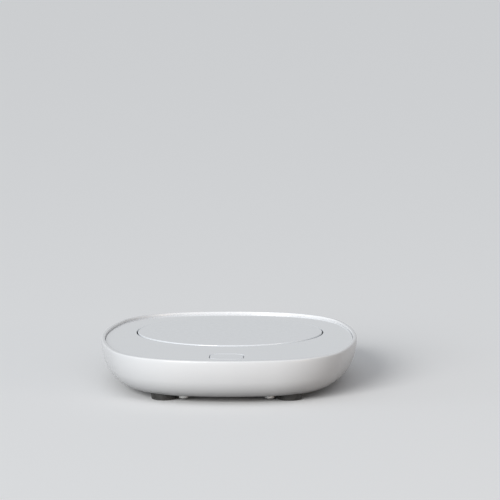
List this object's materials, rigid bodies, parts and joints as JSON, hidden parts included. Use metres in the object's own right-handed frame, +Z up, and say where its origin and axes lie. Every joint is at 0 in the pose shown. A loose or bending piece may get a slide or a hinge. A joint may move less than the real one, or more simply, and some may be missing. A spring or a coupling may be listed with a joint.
{
  "type": "electric mug warmer",
  "caption": "Oblong tabletop mug warmer: a round sprung hot plate and a flush push button set in a glossy panel inside a raised rim, on rubber feet.",
  "frame": {"origin": "on the table, under the centre of the tray's outline", "axes": "+X to the right as seen from the button's side, +Y towards the back, where the power inlet is, +Z up"},
  "size_m": [0.12, 0.155, 0.021],
  "materials": {
    "white_shell": "smooth satin gloss, cool white",
    "white_cover": "fine moulded grain, cool white",
    "gloss_panel": "high gloss, mirror smooth, cool white",
    "adhesive_tape": "matt white foam tape",
    "plate_coating": "glossy white baked enamel on cast aluminium",
    "heater_foil": "amber polyimide film",
    "insulation_felt": "pressed ceramic fibre",
    "heat_resistant_plastic": "glass-filled, matt black",
    "silicone_rubber": "matt black silicone",
    "zinc_steel": "bright zinc plate",
    "spring_steel": "drawn wire",
    "sensor_epoxy": "dipped epoxy bead",
    "fuse_metal": "plain tube",
    "black_plastic": "moulded black",
    "plunger_plastic": "moulded red",
    "tinned_brass": "tinned",
    "button_plastic": "high gloss, cool white",
    "circuit_board": "green solder mask",
    "lamp_resin": "clear resin",
    "capacitor_sleeve": "shrink sleeve",
    "ferrite": "sintered ferrite",
    "header_nylon": "natural nylon",
    "lead_insulation": "silicone insulation",
    "thin_lead_insulation": "thin insulation",
    "foot_rubber": "matt dark rubber"
  },
  "bodies": {
    "base": {"housing_shell": "white_shell", "bottom_cover": "white_cover", "top_panel": "gloss_panel", "panel_tape": "adhesive_tape", "plate_springs": "spring_steel", "weight_switch": "black_plastic", "switch_pins": "zinc_steel", "switch_tabs": "tinned_brass", "button_spring": "spring_steel", "button_board": "circuit_board", "button_board_screws": "zinc_steel", "tact_switch": "black_plastic", "status_leds": "lamp_resin", "main_board": "circuit_board", "main_board_screws": "zinc_steel", "capacitor": "capacitor_sleeve", "choke": "ferrite", "power_transistor": "black_plastic", "control_chip": "black_plastic", "lead_headers": "header_nylon", "board_link": "black_plastic", "heater_leads": "lead_insulation", "sensor_leads": "thin_lead_insulation", "switch_leads": "thin_lead_insulation", "inlet_leads": "lead_insulation", "power_inlet": "black_plastic", "inlet_pin": "tinned_brass", "inlet_tabs": "tinned_brass", "cover_screws": "zinc_steel", "foot_front_left": "foot_rubber", "foot_front_right": "foot_rubber", "foot_rear_left": "foot_rubber", "foot_rear_right": "foot_rubber"},
    "hot_plate": {"heating_plate": "plate_coating", "heater_film": "heater_foil", "insulation_pad": "insulation_felt", "plate_carrier": "heat_resistant_plastic", "plate_seal": "silicone_rubber", "plate_screws": "zinc_steel", "guide_screws": "zinc_steel", "temperature_sensor": "sensor_epoxy", "thermal_fuse": "fuse_metal", "fuse_clip": "spring_steel"},
    "power_button": {"power_button": "button_plastic"},
    "weight_switch_plunger": {"weight_switch_plunger": "plunger_plastic"},
    "tact_plunger": {"tact_plunger": "plunger_plastic"}
  },
  "joints": [
    {"name": "plate_sink", "type": "slide", "parent": "base", "child": "hot_plate", "axis": [0, 0, 1], "range_m": [-0.0008, 0], "stiffness_N_per_m": 1500, "springref_m": 0.0012, "deforming": ["plate_springs"]},
    {"name": "button_press", "type": "slide", "parent": "base", "child": "power_button", "axis": [0, 0, 1], "range_m": [-0.0005, 0], "stiffness_N_per_m": 1500, "springref_m": 0.0005, "deforming": ["button_spring"]},
    {"name": "weight_switch_press", "type": "slide", "parent": "base", "child": "weight_switch_plunger", "axis": [0, 0, 1], "range_m": [-0.0008, 0]},
    {"name": "tact_press", "type": "slide", "parent": "base", "child": "tact_plunger", "axis": [0, 0, 1], "range_m": [-0.0005, 0]}
  ],
  "couplings": [
    {"joint": "weight_switch_press", "follows": "plate_sink", "ratio": 1},
    {"joint": "tact_press", "follows": "button_press", "ratio": 1}
  ]
}
